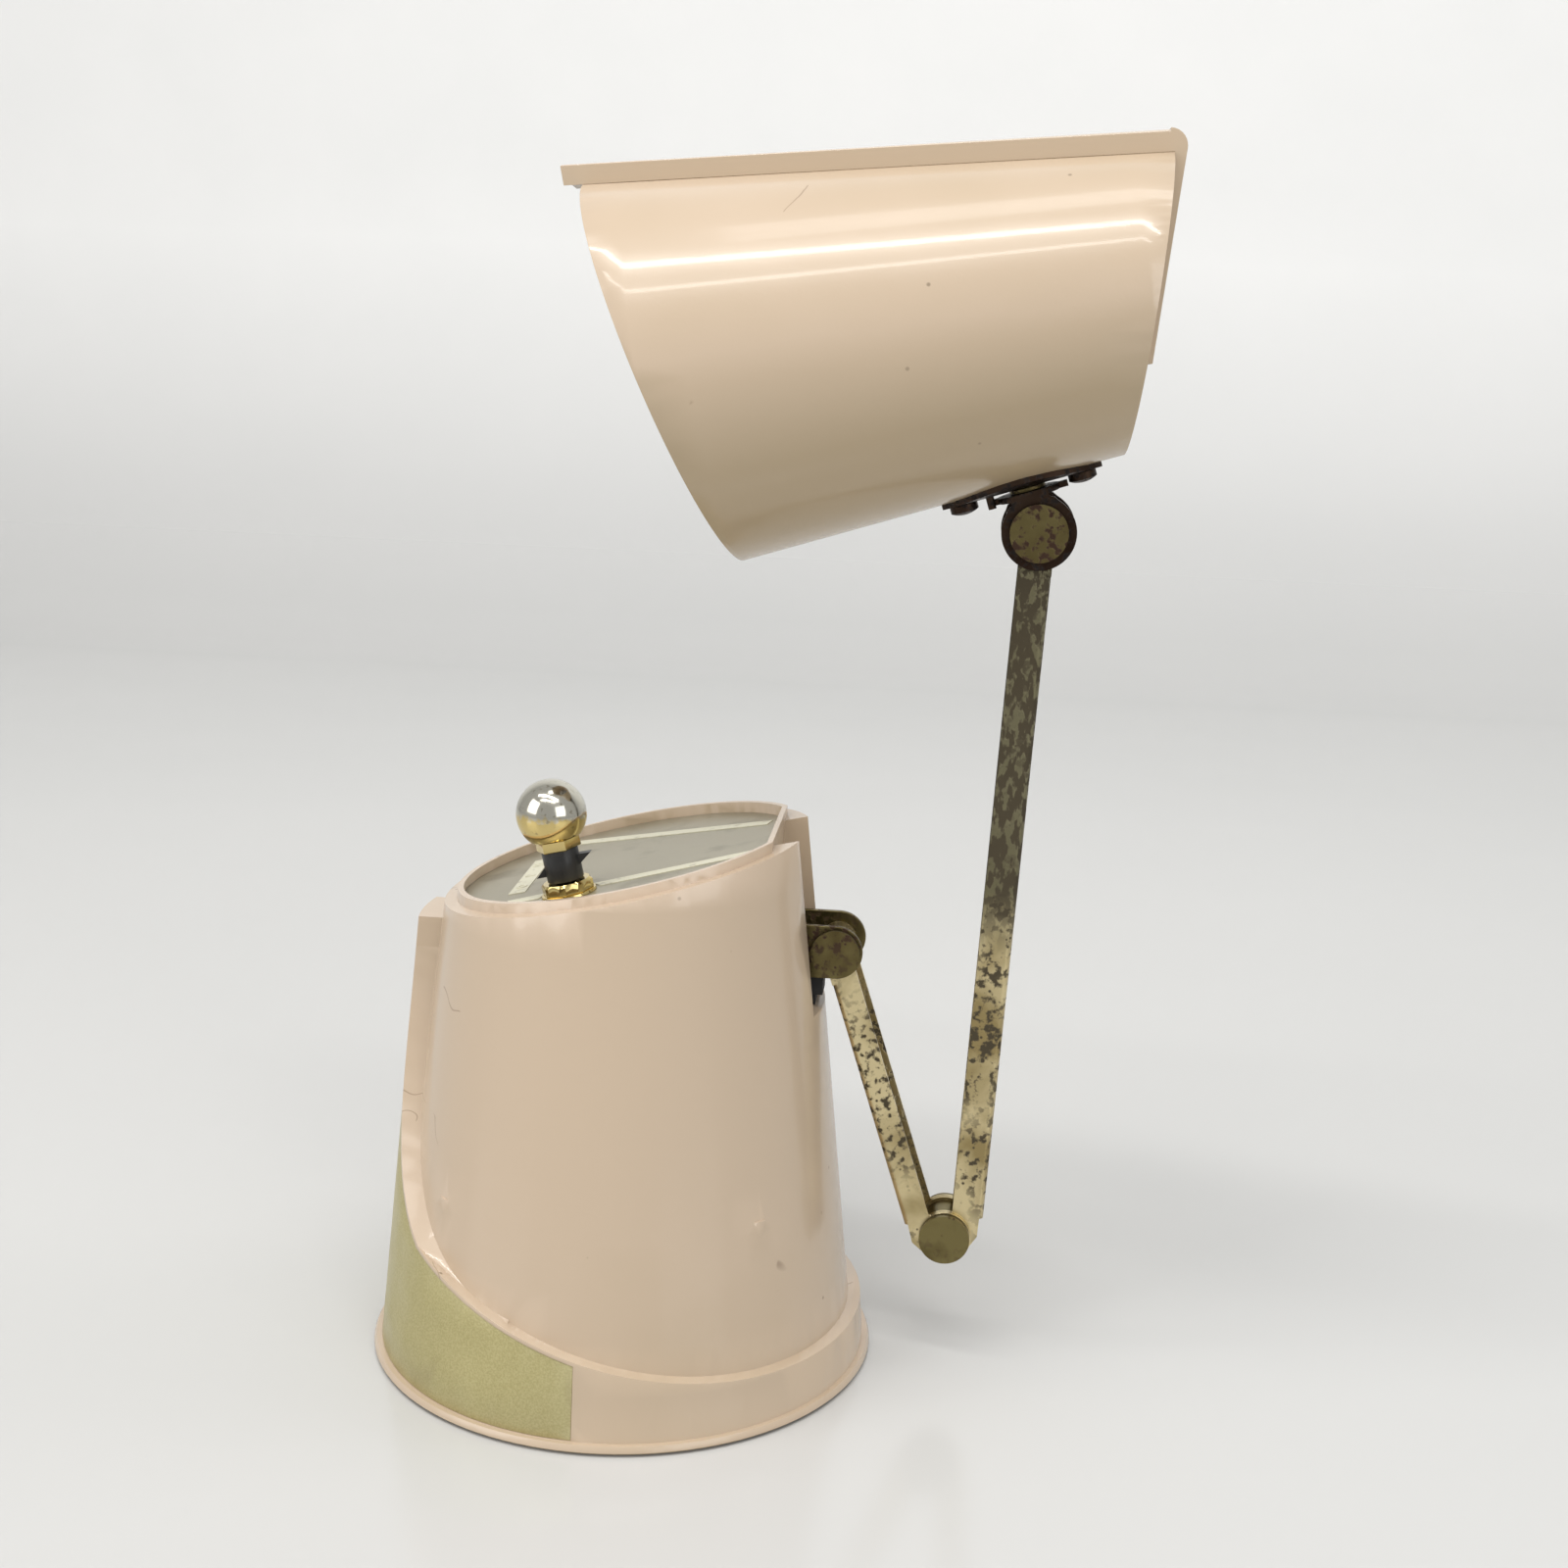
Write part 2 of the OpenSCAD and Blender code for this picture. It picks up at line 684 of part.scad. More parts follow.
// Holes for the saddle screws and the stud, in the folded place
module shell_holes() {
    translate([folded_upper[0], 0, folded_upper[1]]) rotate([0, -wall_tilt, 0]) {
        cyl_x(stud_r, -20, 0);
        for (s = [-1, 1]) translate([0, 0, saddle_mid + s * screw_out]) cyl_x(1.3, -20, 0);
    }
}

// Raised strap: runs up the front of the shade, past its lower edge, and over the narrow end
module shade_strap() color("mistyrose") {
    corner = 3.4;
    head_pose() difference() {
        intersection() {
            union() {
                cone(shade_r + strap_t, cone_taper, 94.6, 210);
                translate([0, 0, 210 - eps]) cone(shade_r + strap_t, cone_taper, 0, 20);
            }
            translate([0, 80, 0]) rotate([90, 0, 0]) linear_extrude(160) strap_side(corner);
            translate([-90, -strap_w, 0]) cube([180, 2 * strap_w, 260]);
        }
        intersection() {
            cone(shade_r + 0.02, cone_taper, 60, 260);
            difference() {
                translate([-90, -90, 60]) cube([180, 180, 200]);
                beyond_top(0.02);
            }
        }
    }
}

// Side outline of the strap: the front line, a round corner, and the line over the narrow end
module strap_side(corner) {
    front = shade_r + strap_t;
    top = top_z + 2.4;
    slope = tan(top_tilt);
    corner_x = (cone_taper * top - front) / (1 + cone_taper * slope);
    corner_z = top - slope * corner_x;
    inside = 90 + wall_tilt - top_tilt;          // angle between the two lines
    reach = corner / tan(inside / 2);            // from the sharp corner to where the round starts
    round_at = [corner_x - reach * sin(wall_tilt), corner_z - reach * cos(wall_tilt)]
        + corner * [cos(wall_tilt), -sin(wall_tilt)];
    swept = 90 - wall_tilt + top_tilt;           // turn of the round corner
    corner_line = [for (i = [0 : 10]) let (a = 180 - wall_tilt - swept * i / 10)
        round_at + corner * [cos(a), sin(a)]];
    polygon(concat([[cone_taper * 94.6 - front, 94.6]], corner_line, [[12, top - slope * 12], [12, 94.6]]));
}

// Bright inner bowl around the bulb
module reflector() color("silver")
    head_pose() difference() {
        union() {
            cone_between(29.6, 139, 22, 168, 0);
            cone_between(22, 168 - eps, 9, 181, 0);
        }
        cone_between(29.6, 139 - eps, 22, 168, 0.6);
        cone_between(22, 168 - 3 * eps, 9, 180.4, 0.6);
        translate([0, 0, 150]) cylinder(r = 8.6, h = 40);
    }

module cone_between(r1, z1, r2, z2, inset) {
    translate([0, 0, z1]) cylinder(r1 = r1 - inset, r2 = r2 - inset, h = z2 - z1);
}

module lamp_socket() color("silver")
    head_pose() difference() {
        union() {
            translate([0, 0, 176]) cylinder(r = 8.4, h = 19);
            translate([0, 0, 181.2]) cylinder(r = 10, h = 1);
            translate([0, 0, 194]) cylinder(r = 5.5, h = 3);
        }
        translate([0, 0, 175]) cylinder(r = 7.7, h = 17);
    }

// Strap that carries the socket from the back wall of the shade, held by the upper saddle screw
module socket_bracket() color("gray")
    head_pose() difference() {
        union() {
            translate([-11, -7, 182.3]) cube([37.5, 14, 1]);
            intersection() {
                cone(shade_r - wall - 0.1, cone_taper, 182.3, 193);
                translate([20, -7, 182.3]) cube([20, 14, 8]);
            }
        }
        intersection() {
            cone(shade_r - wall - 1.3, cone_taper, 183.3, 200);
            translate([0, -20, 183.3]) cube([60, 40, 30]);
        }
        translate([0, 0, 180]) cylinder(r = 8.5, h = 10);
        shell_holes();
        translate([27.5, -20, 160]) cube([30, 40, 22.3]);
    }

module bulb_cap() color("gold")
    head_pose() {
        translate([0, 0, 171]) cylinder(r = 7.4, h = 17);
        translate([0, 0, 187.9]) cylinder(r = 2.5, h = 2.4);
        for (a = [0, 180]) rotate([0, 0, a]) translate([0, 0, 173.5]) cyl_x(0.9, 7.3, 8.4);
    }

module bulb_glass() color("white")
    head_pose() difference() {
        union() {
            translate([0, 0, 154]) sphere(r = 11);
            translate([0, 0, 154]) cylinder(r1 = 11, r2 = 7, h = 17);
        }
        translate([0, 0, 154]) sphere(r = 10.3);
        translate([0, 0, 154]) cylinder(r1 = 10.3, r2 = 6.3, h = 16);
    }

module filament() color("dimgray")
    head_pose() {
        for (s = [-1, 1]) translate([0, s * 2.4, 152]) cylinder(r = 0.25, h = 18, $fn = 24);
        translate([0, 0, 152]) rotate([90, 0, 0]) cylinder(r = 0.5, h = 5.2, center = true, $fn = 24);
    }

// ---------- drawing ----------

base_housing();
front_panel();
bottom_plate();
bottom_screws();
foot_ring();
transformer_core();
transformer_coil();
transformer_screws();
dial_plate();
dial_scale();
switch_body();
switch_nut();
knob_stem();
knob_ball();
cord_grommet();
mains_cord();
mains_plug();
body_bracket();
bracket_screws();
lead_grommet();
lower_rivet();
short_arm();
elbow_rivet();
elbow_bush();
long_arm();
upper_rivet();
head_clevis();
swivel_stud();
saddle_plate();
saddle_screws();
shade_shell();
shade_strap();
reflector();
lamp_socket();
socket_bracket();
bulb_cap();
bulb_glass();
filament();
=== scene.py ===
"""Looks of the folding desk lamp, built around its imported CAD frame. Lengths are in metres."""

import json
import math

import bmesh
import bpy
from mathutils import Matrix, Vector


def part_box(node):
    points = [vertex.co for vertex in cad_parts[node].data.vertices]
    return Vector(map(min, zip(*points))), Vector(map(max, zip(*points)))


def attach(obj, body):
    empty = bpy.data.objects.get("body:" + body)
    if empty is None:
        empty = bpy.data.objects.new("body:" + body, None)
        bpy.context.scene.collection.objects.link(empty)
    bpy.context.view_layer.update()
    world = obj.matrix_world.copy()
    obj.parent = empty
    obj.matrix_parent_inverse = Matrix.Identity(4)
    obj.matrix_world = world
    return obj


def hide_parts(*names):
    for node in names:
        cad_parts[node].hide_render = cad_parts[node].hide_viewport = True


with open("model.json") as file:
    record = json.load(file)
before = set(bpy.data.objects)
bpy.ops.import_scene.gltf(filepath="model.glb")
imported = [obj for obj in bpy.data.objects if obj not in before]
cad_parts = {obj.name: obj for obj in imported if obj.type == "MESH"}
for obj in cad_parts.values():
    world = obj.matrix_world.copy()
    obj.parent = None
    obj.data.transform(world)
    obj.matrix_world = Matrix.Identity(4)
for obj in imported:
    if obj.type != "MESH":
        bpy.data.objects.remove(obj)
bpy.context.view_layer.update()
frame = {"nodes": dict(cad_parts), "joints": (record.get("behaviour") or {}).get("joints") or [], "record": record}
MM = 0.001
JOINTS = {joint["name"]: joint for joint in frame["joints"]}

# The switch knob and nut, with the ball's height counted along the switch's axis from its joint.
BALL_HEIGHT = 16.4 * MM
BALL_RADIUS = 7.05 * MM
COLLAR_SIDES = 6
NUT_SIDES = 8

# Height above the table from which the plate of the long arm is mostly gone.
ARM_EATEN_ABOVE = 92 * MM

# Linear colours of the base and lamp shade (the second pink is yellowed plastic and also painted shade where the
# plastic faces down), the dial's print, the grey steel, the knob and the long arm.
PINK = (0.61, 0.485, 0.37)
PINK_YELLOWED_AND_SHADED = (0.44, 0.34, 0.215)
SCRATCH = (0.2, 0.13, 0.08)
SPECK = (0.14, 0.1, 0.06)
CREAM = (0.66, 0.64, 0.5)
SPRAYED_GREY = (0.09, 0.09, 0.095)
BARE_STEEL = (0.42, 0.41, 0.4)
KNOB_GOLD = (0.66, 0.52, 0.22)
KNOB_NICKEL = (0.6, 0.58, 0.5)
TARNISHED_PLATE = (0.16, 0.15, 0.092)


# ---------- node material helper ----------

class Paint:
    """A material with a Principled shader, and short calls for the nodes that feed it."""

    def __init__(self, name, color, roughness, metallic=0.0):
        self.material = bpy.data.materials.new(name)
        self.material.use_nodes = True
        self.tree = self.material.node_tree
        self.shader = self.tree.nodes["Principled BSDF"]
        self.coords = self.tree.nodes.new("ShaderNodeTexCoord").outputs["Object"]
        self.set("Base Color", (*color, 1.0))
        self.set("Roughness", roughness)
        self.set("Metallic", metallic)

    def node(self, kind, **settings):
        made = self.tree.nodes.new(kind)
        for key, value in settings.items():
            setattr(made, key, value)
        return made

    def feed(self, socket, value):
        """Links an output into a socket, or sets the socket's own value."""
        if isinstance(value, bpy.types.NodeSocket):
            self.tree.links.new(value, socket)
        else:
            socket.default_value = value

    def set(self, name, value):
        self.feed(self.shader.inputs[name], value)

    def stretched(self, scale):
        mapping = self.node("ShaderNodeMapping")
        self.feed(mapping.inputs["Vector"], self.coords)
        mapping.inputs["Scale"].default_value = scale
        return mapping.outputs["Vector"]

    def noise(self, scale, detail=4.0, vector=None, distortion=0.0):
        made = self.node("ShaderNodeTexNoise")
        self.feed(made.inputs["Vector"], vector or self.coords)
        made.inputs["Scale"].default_value = scale
        made.inputs["Detail"].default_value = detail
        made.inputs["Distortion"].default_value = distortion
        return made.outputs["Fac"]

    def uneven(self, scale, detail, low, high):
        """Noise spread from low to high."""
        return self.span(self.noise(scale, detail), 0.3, 0.7, low, high)

    def cells(self, scale):
        made = self.node("ShaderNodeTexVoronoi")
        self.feed(made.inputs["Vector"], self.coords)
        made.inputs["Scale"].default_value = scale
        return made.outputs["Distance"]

    def wave(self, scale, direction, distortion=0.0):
        made = self.node("ShaderNodeTexWave", bands_direction=direction)
        self.feed(made.inputs["Vector"], self.coords)
        made.inputs["Scale"].default_value = scale
        made.inputs["Distortion"].default_value = distortion
        return made.outputs["Fac"]

    def pointiness(self):
        return self.node("ShaderNodeNewGeometry").outputs["Pointiness"]

    def span(self, value, low, high, out_low=0.0, out_high=1.0):
        """Maps low..high to out_low..out_high, held at the ends."""
        made = self.node("ShaderNodeMapRange", clamp=True)
        self.feed(made.inputs["Value"], value)
        limits = {"From Min": low, "From Max": high, "To Min": out_low, "To Max": out_high}
        for name, number in limits.items():
            made.inputs[name].default_value = number
        return made.outputs["Result"]

    def combine(self, operation, a, b):
        made = self.node("ShaderNodeMath", operation=operation)
        self.feed(made.inputs[0], a)
        self.feed(made.inputs[1], b)
        return made.outputs[0]

    def times(self, a, b):
        return self.combine("MULTIPLY", a, b)

    def plus(self, a, b):
        return self.combine("ADD", a, b)

    def larger(self, a, b):
        return self.combine("MAXIMUM", a, b)

    def height(self):
        """Height in the row's frame, at rest."""
        split = self.node("ShaderNodeSeparateXYZ")
        self.feed(split.inputs["Vector"], self.coords)
        return split.outputs["Z"]

    def upward(self):
        """How far the surface faces up in the row's frame, at rest: 1 up, -1 down."""
        split = self.node("ShaderNodeSeparateXYZ")
        self.feed(split.inputs["Vector"], self.node("ShaderNodeTexCoord").outputs["Normal"])
        return split.outputs["Z"]

    def blend(self, factor, a, b):
        """Colour a where factor is 0, colour b where it is 1."""
        made = self.node("ShaderNodeMix", data_type="RGBA")
        self.feed(made.inputs["Factor"], factor)
        self.feed(made.inputs[6], a if isinstance(a, bpy.types.NodeSocket) else (*a, 1.0))
        self.feed(made.inputs[7], b if isinstance(b, bpy.types.NodeSocket) else (*b, 1.0))
        return made.outputs[2]

    def bump(self, height, depth, below=None):
        made = self.node("ShaderNodeBump")
        made.inputs["Strength"].default_value = 1.0
        made.inputs["Distance"].default_value = depth
        self.feed(made.inputs["Height"], height)
        if below is not None:
            self.feed(made.inputs["Normal"], below)
        return made.outputs["Normal"]


# ---------- plastics, rubber and paint ----------

def pink_plastic(color, yellowed_and_shaded):
    """Old glossy moulded plastic: yellowed in random patches, painted shade that turns it darker and yellower
    where it faces down, a few hairline scratches, and specks.
    """
    paint = Paint("pink_plastic", color, 0.25)
    patchy = paint.span(paint.noise(11, 3), 0.35, 0.7, 0.0, 0.5)
    # painted shade: darker and yellower where the surface faces down
    painted_underside_shade = paint.span(paint.upward(), 0.35, -0.45)
    body = paint.blend(paint.larger(patchy, painted_underside_shade), color, yellowed_and_shaded)
    lines = paint.noise(30, 2, distortion=0.8)
    thread = paint.times(paint.span(lines, 0.5, 0.504), paint.span(lines, 0.508, 0.504))
    scratches = paint.times(thread, paint.span(paint.noise(47, 1), 0.68, 0.69))
    body = paint.blend(paint.times(scratches, 0.6), body, SCRATCH)
    dots = paint.span(paint.cells(120), 0.06, 0.03)
    specks = paint.times(dots, paint.span(paint.noise(40, 1), 0.58, 0.64))
    body = paint.blend(paint.times(specks, 0.6), body, SPECK)
    paint.set("Base Color", body)
    paint.set("Roughness", paint.uneven(400, 3, 0.23, 0.27))
    paint.set("Coat Weight", 0.3)
    paint.set("Coat Roughness", 0.06)
    waves = paint.bump(paint.noise(16, 1), 0.7 * MM)
    paint.set("Normal", paint.bump(paint.noise(1500, 2), 0.01 * MM, waves))
    return paint.material


def front_panel_paint():
    """Pale olive gold lacquer with a fine metallic grain, brown rubs and stains."""
    paint = Paint("panel_gold", (0.5, 0.46, 0.25), 0.38, 0.25)
    body = paint.blend(paint.span(paint.noise(2600, 1), 0.35, 0.65), (0.4, 0.35, 0.155), (0.48, 0.43, 0.21))
    stains = paint.span(paint.noise(70, 6, distortion=0.6), 0.6, 0.74)
    body = paint.blend(paint.times(stains, 0.45), body, (0.3, 0.24, 0.11))
    edges = paint.span(paint.pointiness(), 0.52, 0.6)
    body = paint.blend(paint.times(edges, 0.5), body, (0.66, 0.62, 0.42))
    paint.set("Base Color", body)
    paint.set("Roughness", paint.uneven(120, 4, 0.28, 0.46))
    paint.set("Normal", paint.bump(paint.noise(1800, 2), 0.03 * MM))
    return paint.material


def dial_paint():
    """Grey gold anodised dial, finely brushed along the row's X axis, with darker rubbed patches."""
    paint = Paint("dial_gold", (0.36, 0.33, 0.25), 0.36, 0.6)
    brushed = paint.noise(1.0, 3, paint.stretched((120, 5200, 900)))
    body = paint.blend(paint.span(brushed, 0.3, 0.7), (0.34, 0.31, 0.23), (0.43, 0.4, 0.31))
    worn = paint.span(paint.noise(90, 5), 0.56, 0.72, 0.0, 0.6)
    paint.set("Base Color", paint.blend(worn, body, (0.2, 0.175, 0.12)))
    paint.set("Roughness", paint.span(brushed, 0.3, 0.7, 0.3, 0.44))
    paint.set("Normal", paint.bump(brushed, 0.02 * MM))
    return paint.material


def printed_cream():
    """Cream print on the dial, a little rubbed."""
    paint = Paint("dial_cream", CREAM, 0.45)
    rubbed = paint.span(paint.noise(420, 4), 0.58, 0.7, 0.0, 0.7)
    paint.set("Base Color", paint.blend(rubbed, CREAM, (0.42, 0.39, 0.3)))
    paint.set("Roughness", paint.uneven(200, 3, 0.38, 0.55))
    paint.set("Normal", paint.bump(paint.noise(1300, 3), 0.02 * MM))
    return paint.material


def dark_solid(name, color, dusty, roughness, grain):
    """Black or brown moulding or rubber with dust in random patches."""
    paint = Paint(name, color, roughness)
    dust = paint.span(paint.noise(110, 6), 0.52, 0.78, 0.0, 0.5)
    paint.set("Base Color", paint.blend(dust, color, dusty))
    paint.set("Roughness", paint.uneven(300, 4, roughness - 0.08, roughness + 0.12))
    paint.set("Normal", paint.bump(paint.noise(grain, 3), 0.03 * MM))
    return paint.material


def grey_paint():
    """Dark grey sprayed steel with chips down to bare metal along its edges."""
    paint = Paint("grey_steel", SPRAYED_GREY, 0.5)
    edges = paint.span(paint.pointiness(), 0.53, 0.6)
    chips = paint.times(edges, paint.span(paint.noise(260, 4), 0.45, 0.55))
    paint.set("Base Color", paint.blend(chips, SPRAYED_GREY, BARE_STEEL))
    paint.set("Metallic", chips)
    paint.set("Roughness", paint.uneven(90, 5, 0.42, 0.62))
    paint.set("Normal", paint.bump(paint.noise(700, 3), 0.05 * MM))
    return paint.material


# ---------- metals ----------

def pitted_plate(name, bright, dull, pit, pits_from, roughness, eaten_above=None):
    """Plated steel: bright plate, dull tarnish clouds, and dark pits where noise is past pits_from.
    Above the height eaten_above the plate is mostly gone, in patches drawn out along the arm."""
    paint = Paint(name, bright, roughness, 1.0)
    clouds = paint.span(paint.noise(75, 6, distortion=0.4), 0.42, 0.68)
    body = paint.blend(clouds, bright, dull)
    worst_places = paint.span(paint.noise(38, 3), pits_from, pits_from + 0.16)
    pits = paint.times(worst_places, paint.span(paint.noise(620, 4), 0.5, 0.6))
    pinholes = paint.span(paint.cells(480), 0.2, 0.1)
    pinholes = paint.times(pinholes, paint.span(paint.noise(150, 2), 0.46, 0.56))
    pits = paint.larger(pits, pinholes)
    if eaten_above is not None:
        higher = paint.span(paint.height(), eaten_above, eaten_above + 14 * MM)
        body = paint.blend(paint.times(higher, 0.9), body, TARNISHED_PLATE)
        patches = paint.span(paint.noise(1.0, 8, paint.stretched((700, 700, 300))), 0.45, 0.51)
        pits = paint.larger(pits, paint.times(higher, patches))
    paint.set("Base Color", paint.blend(pits, body, pit))
    paint.set("Metallic", paint.span(pits, 0.0, 1.0, 1.0, 0.35))
    cloudy = paint.span(clouds, 0.0, 1.0, roughness, roughness + 0.14)
    paint.set("Roughness", paint.larger(cloudy, paint.times(pits, 0.75)))
    paint.set("Normal", paint.bump(pits, -0.06 * MM, paint.bump(paint.noise(1900, 2), 0.01 * MM)))
    return paint.material


def polished_gold():
    """Thin gold plate on the knob: yellow gold below the ball's middle, pale nickel above it."""
    paint = Paint("gold_plate", KNOB_GOLD, 0.08, 1.0)
    knob = JOINTS["switch_turn"]
    middle = Vector(knob["pos_m"]) + Vector(knob["axis"]) * BALL_HEIGHT
    above_middle = paint.span(paint.height(), middle.z - 1.0 * MM, middle.z + 1.6 * MM)
    ragged = paint.plus(above_middle, paint.span(paint.noise(420, 4), 0.35, 0.65, -0.3, 0.3))
    body = paint.blend(paint.span(ragged, 0.35, 0.65), KNOB_GOLD, KNOB_NICKEL)
    specks = paint.span(paint.noise(900, 4), 0.62, 0.7, 0.0, 0.6)
    paint.set("Base Color", paint.blend(specks, body, (0.24, 0.2, 0.12)))
    paint.set("Roughness", paint.span(paint.noise(350, 4), 0.3, 0.75, 0.07, 0.22))
    paint.set("Normal", paint.bump(paint.noise(800, 2), 0.01 * MM))
    return paint.material


def plain_metal(name, color, roughness, spots):
    """Bare or plated metal with fine tool grain and a few dull spots."""
    paint = Paint(name, color, roughness, 1.0)
    dull = tuple(c * 0.55 for c in color)
    marks = paint.span(paint.noise(spots, 5), 0.55, 0.72, 0.0, 0.7)
    paint.set("Base Color", paint.blend(marks, color, dull))
    paint.set("Roughness", paint.uneven(spots * 3, 4, roughness, roughness + 0.16))
    paint.set("Normal", paint.bump(paint.noise(2200, 2), 0.01 * MM))
    return paint.material


def laminated_iron():
    """Stack of thin varnished plates, seen as fine lines along the row's X axis."""
    paint = Paint("core_iron", (0.1, 0.09, 0.085), 0.45, 0.7)
    plates = paint.wave(330, "X")
    paint.set("Base Color", paint.blend(plates, (0.05, 0.045, 0.04), (0.16, 0.145, 0.13)))
    paint.set("Roughness", paint.uneven(200, 4, 0.36, 0.56))
    paint.set("Normal", paint.bump(plates, 0.1 * MM))
    return paint.material


def wound_copper():
    """Layers of varnished wire."""
    paint = Paint("copper_wire", (0.52, 0.2, 0.07), 0.3, 0.85)
    turns = paint.wave(420, "Z", 0.3)
    paint.set("Base Color", paint.blend(turns, (0.26, 0.09, 0.03), (0.6, 0.25, 0.09)))
    paint.set("Roughness", paint.uneven(150, 3, 0.25, 0.42))
    paint.set("Normal", paint.bump(turns, 0.18 * MM))
    return paint.material


def clear_glass():
    """Thin clear bulb with faint waviness and a little dust."""
    paint = Paint("bulb_glass", (0.97, 0.97, 0.96), 0.02)
    paint.set("Transmission Weight", 0.94)
    paint.set("IOR", 1.46)
    paint.set("Roughness", paint.span(paint.noise(120, 5), 0.45, 0.8, 0.01, 0.2))
    paint.set("Normal", paint.bump(paint.noise(60, 2), 0.05 * MM))
    return paint.material


# ---------- turned and swept pieces ----------

def joint_space(name):
    """Matrix that puts the origin on a joint with Z along its axis."""
    joint = JOINTS[name]
    turn = Vector((0, 0, 1)).rotation_difference(Vector(joint["axis"]))
    return Matrix.Translation(joint["pos_m"]) @ turn.to_matrix().to_4x4()


def finish_mesh(name, shape):
    """Turns a bmesh into an object with smooth faces and sharp corners, and frees it."""
    mesh = bpy.data.meshes.new(name)
    shape.to_mesh(mesh)
    shape.free()
    mesh.shade_smooth()
    mesh.set_sharp_from_angle(angle=math.radians(38))
    made = bpy.data.objects.new(name, mesh)
    bpy.context.scene.collection.objects.link(made)
    return made


def skin(shape, rings):
    """Faces from each ring of corners to the next, and one face over each end."""
    for lower, upper in zip(rings, rings[1:]):
        for step in range(len(lower)):
            after = (step + 1) % len(lower)
            shape.faces.new((lower[step], lower[after], upper[after], upper[step]))
    shape.faces.new(list(reversed(rings[0])))
    shape.faces.new(rings[-1])
    bmesh.ops.recalc_face_normals(shape, faces=shape.faces)


def turned(name, profile, place, sides, steps=120):
    """Solid from (radius, height, faceted) rings, closed on its axis.
    A faceted ring is a polygon with that many sides and its corners at the radius; the others are round."""
    shape = bmesh.new()
    half_side = math.pi / sides
    rings = []
    for radius, height, faceted in profile:
        ring = []
        for step in range(steps):
            angle = 2 * math.pi * step / steps
            from_middle = angle % (2 * half_side) - half_side
            reach = radius * math.cos(half_side) / math.cos(from_middle) if faceted else radius
            ring.append(shape.verts.new((reach * math.cos(angle), reach * math.sin(angle), height)))
        rings.append(ring)
    skin(shape, rings)
    shape.transform(place)
    return finish_mesh(name, shape)


def wire(name, points, radius, sides=8):
    """Round wire swept along points, as a closed mesh."""
    shape = bmesh.new()
    rings = []
    side = (points[1] - points[0]).normalized().orthogonal().normalized()
    for i, point in enumerate(points):
        ahead = points[min(i + 1, len(points) - 1)] - points[max(i - 1, 0)]
        ahead.normalize()
        side = (side - ahead * side.dot(ahead)).normalized()
        other = ahead.cross(side)
        ring = []
        for step in range(sides):
            angle = 2 * math.pi * step / sides
            outward = side * math.cos(angle) + other * math.sin(angle)
            ring.append(shape.verts.new(point + radius * outward))
        rings.append(ring)
    skin(shape, rings)
    return finish_mesh(name, shape)


def arc(height, radius, start, end, count):
    """Round rings of a ball around the axis, angles in degrees from its equator."""
    rings = []
    for i in range(count + 1):
        angle = math.radians(start + (end - start) * i / count)
        rings.append((radius * math.cos(angle), height + radius * math.sin(angle), False))
    return rings


def take_place(made, node, slot, body):
    """Puts a made piece where a CAD node was, riding the same body, and returns it with its slot."""
    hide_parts(node)
    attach(made, body)
    return made, slot


def knob_ball():
    """Polished ball on a six-sided collar with broken edges."""
    low = BALL_HEIGHT - 7.2 * MM
    collar = [
        (3.75 * MM, low, False),
        (4.35 * MM, low, True),
        (4.6 * MM, low + 0.2 * MM, True),
        (4.5 * MM, low + 1.7 * MM, True),
        (4.6 * MM, low + 2.05 * MM, True),
    ]
    ball = arc(BALL_HEIGHT, BALL_RADIUS, -44, 89, 44)
    made = turned("knob_ball_turned", collar + ball, joint_space("switch_turn"), COLLAR_SIDES)
    return take_place(made, "knob_ball", "gold_plate", "knob")


def switch_nut():
    """Eight-sided dress nut with a thin washer under it."""
    low = -0.3 * MM
    rings = [
        (5.5 * MM, low, False),
        (5.6 * MM, low + 0.15 * MM, False),
        (5.5 * MM, low + 0.6 * MM, False),
        (5.2 * MM, low + 0.7 * MM, True),
        (5.3 * MM, low + 0.8 * MM, True),
        (5.3 * MM, low + 2.4 * MM, True),
        (4.7 * MM, low + 2.88 * MM, False),
        (3.3 * MM, low + 2.9 * MM, False),
    ]
    made = turned("switch_nut_turned", rings, joint_space("switch_turn"), NUT_SIDES)
    return take_place(made, "switch_nut", "gold_plate", "base")


def middle_of(node):
    low, high = (Vector(corner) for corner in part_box(node))
    return (low + high) / 2


def filament_coil():
    """Coiled filament on its two lead wires, one swept curve."""
    along = (middle_of("lamp_socket") - middle_of("bulb_glass")).normalized()
    across = Vector((0, 1, 0))
    up = along.cross(across)
    lead_half = 8.4 * MM
    apart = 2.4 * MM
    coil_half = apart * 0.85
    coil_radius = 0.45 * MM
    wire_radius = 0.09 * MM
    turns = 11
    steps = 12
    tip = middle_of("filament") - along * lead_half
    root = middle_of("filament") + along * lead_half
    points = [root - across * apart, tip - across * apart]
    for i in range(turns * steps + 1):
        angle = 2 * math.pi * i / steps
        shift = across * coil_half * (2 * i / (turns * steps) - 1)
        points.append(tip + shift + coil_radius * (along * math.cos(angle) + up * math.sin(angle)))
    points += [tip + across * apart, root + across * apart]
    made = wire("filament_coil", points, wire_radius)
    return take_place(made, "filament", "zinc_steel", "head")


# ---------- edges and finishes of the CAD nodes ----------

def round_edges(node, width):
    """Small real rounding on a CAD node's sharp edges."""
    made = frame["nodes"][node]
    weld = made.modifiers.new("weld", "WELD")
    weld.merge_threshold = 0.002 * MM
    bevel = made.modifiers.new("edges", "BEVEL")
    bevel.width = width
    bevel.segments = 2
    bevel.limit_method = "ANGLE"
    bevel.angle_limit = math.radians(32)
    bevel.harden_normals = True
    bevel.use_clamp_overlap = True


